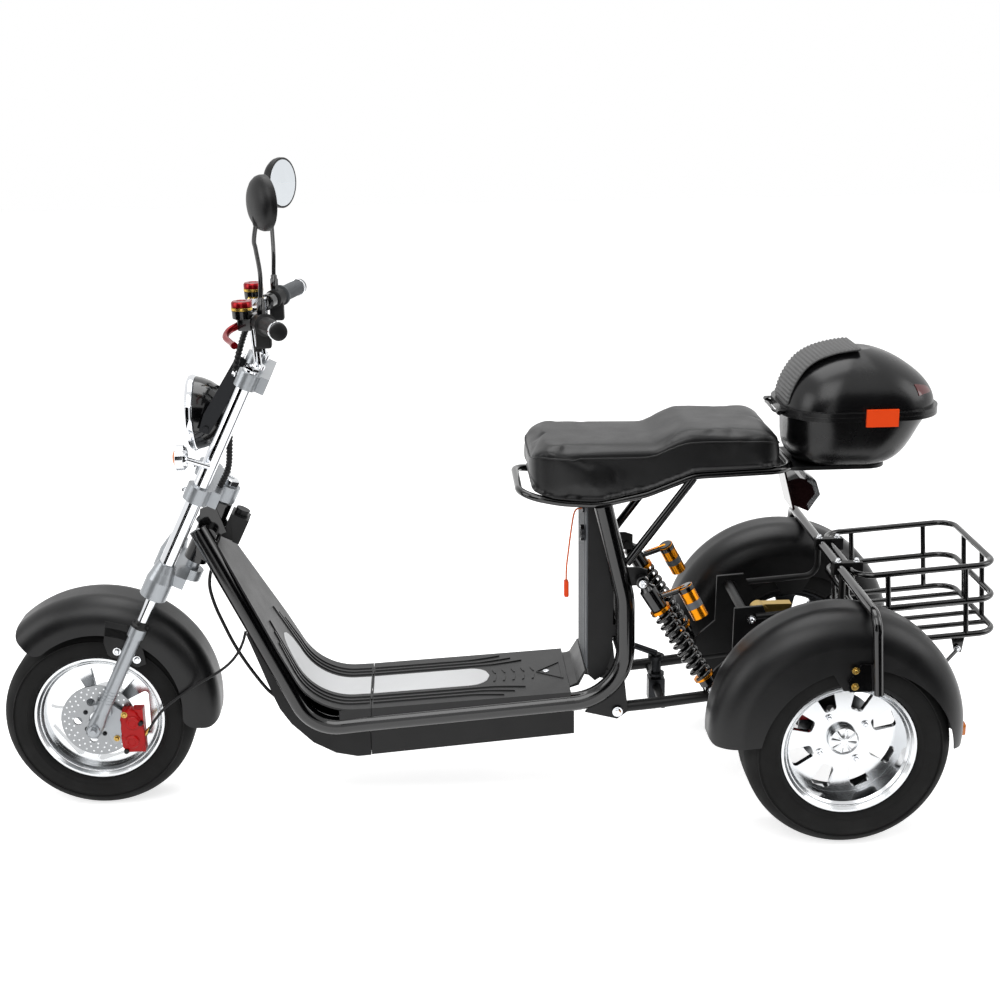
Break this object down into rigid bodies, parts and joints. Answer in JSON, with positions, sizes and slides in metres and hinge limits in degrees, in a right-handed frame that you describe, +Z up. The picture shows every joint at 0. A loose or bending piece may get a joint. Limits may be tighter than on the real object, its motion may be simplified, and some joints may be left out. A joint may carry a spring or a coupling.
{
  "type": "electric tricycle",
  "caption": "Electric cargo tricycle: raked telescopic front fork, step-through footboard, long padded seat, wire basket, hinged top case and wide tyres.",
  "frame": {"origin": "on the floor, at the middle of the overall length and width", "axes": "+X forward, +Y to the rider's left, +Z up"},
  "size_m": [2.1288, 0.782, 1.3681],
  "materials": {
    "black_paint": "gloss",
    "black_plastic": "satin",
    "chrome": "polished",
    "grey_plastic": "matt",
    "grey_rubber": "matt",
    "leatherette": "satin",
    "lens": "clear",
    "mirror": "mirror",
    "orange_anodised": "anodised",
    "orange_plastic": "gloss",
    "orange_webbing": "woven",
    "polished_alloy": "polished",
    "red_anodised": "anodised",
    "rubber": "matt",
    "satin_black_paint": "satin",
    "silver_paint": "satin",
    "steel": "brushed",
    "tyre": "matt",
    "zinc": "yellow zinc"
  },
  "bodies": {
    "front_wheel": {"front_tyre": "tyre", "front_rim": "polished_alloy", "front_brake_disc": "steel"},
    "rear_left_wheel": {"rear_tyre_left": "tyre", "rear_rim_left": "polished_alloy", "rear_brake_disc_left": "steel"},
    "rear_right_wheel": {"rear_tyre_right": "tyre", "rear_rim_right": "polished_alloy", "rear_brake_disc_right": "steel"},
    "steering": {"fork_sliders": "silver_paint", "fork_tubes": "chrome", "fork_bridge": "silver_paint", "fork_yokes": "silver_paint", "front_fender": "satin_black_paint", "headlamp_shell": "chrome", "headlamp_lens": "lens", "headlamp_ears": "black_plastic", "front_signals": "black_plastic", "front_caliper": "red_anodised", "handlebar": "chrome", "bar_risers": "chrome", "grips": "grey_rubber", "bar_controls": "black_plastic", "mirrors": "black_plastic", "mirror_glass": "mirror", "brake_hose": "rubber", "conduit_upper": "black_plastic"},
    "frame": {"head_tube": "black_paint", "frame_tubes": "black_paint", "belly_pan": "black_plastic", "footboard": "black_plastic", "battery_tray": "black_paint", "battery_pack": "black_plastic", "seat_box": "black_plastic", "box_panel": "grey_plastic", "lock_and_socket": "steel", "seat_frame": "black_paint", "seat_cushion": "leatherette", "case_carrier": "black_plastic", "case_bowl": "black_plastic", "basket": "black_paint", "rear_fenders": "satin_black_paint", "fender_hoop": "black_paint", "swing_frame": "black_paint", "axle_housing": "satin_black_paint", "shocks": "black_paint", "shock_reservoirs": "orange_anodised", "rear_calipers": "red_anodised", "horn_box": "black_plastic", "spring_unit": "chrome", "rear_gussets": "black_paint", "zinc_fittings": "zinc", "rear_lamp": "black_plastic", "case_catches": "orange_plastic", "conduit_lower": "black_plastic", "key_strap": "orange_webbing", "key_fob": "orange_plastic"},
    "battery_lid": {"battery_lid": "black_plastic"},
    "case_lid": {"case_lid": "black_plastic", "case_pad": "grey_plastic"}
  },
  "joints": [
    {"name": "steering", "type": "hinge", "parent": "frame", "child": "steering", "pos_m": [0.81407, 0, 0.18291], "axis": [-0.4384, 0, 0.8988], "range_deg": [-35, 35], "deforming": ["brake_hose"]},
    {"name": "front_wheel_spin", "type": "hinge", "parent": "steering", "child": "front_wheel", "pos_m": [0.85937, 0, 0.205], "axis": [0, 1, 0], "continuous": true},
    {"name": "rear_left_wheel_spin", "type": "hinge", "parent": "frame", "child": "rear_left_wheel", "pos_m": [-0.70163, 0.285, 0.212], "axis": [0, 1, 0], "continuous": true},
    {"name": "rear_right_wheel_spin", "type": "hinge", "parent": "frame", "child": "rear_right_wheel", "pos_m": [-0.70163, -0.285, 0.212], "axis": [0, 1, 0], "continuous": true},
    {"name": "battery_lid_hinge", "type": "hinge", "parent": "frame", "child": "battery_lid", "pos_m": [0.27037, 0, 0.242], "axis": [0, 1, 0], "range_deg": [0, 60]},
    {"name": "case_lid_hinge", "type": "hinge", "parent": "frame", "child": "case_lid", "pos_m": [-0.59463, 0, 0.851], "axis": [0, 1, 0], "range_deg": [0, 75]}
  ]
}
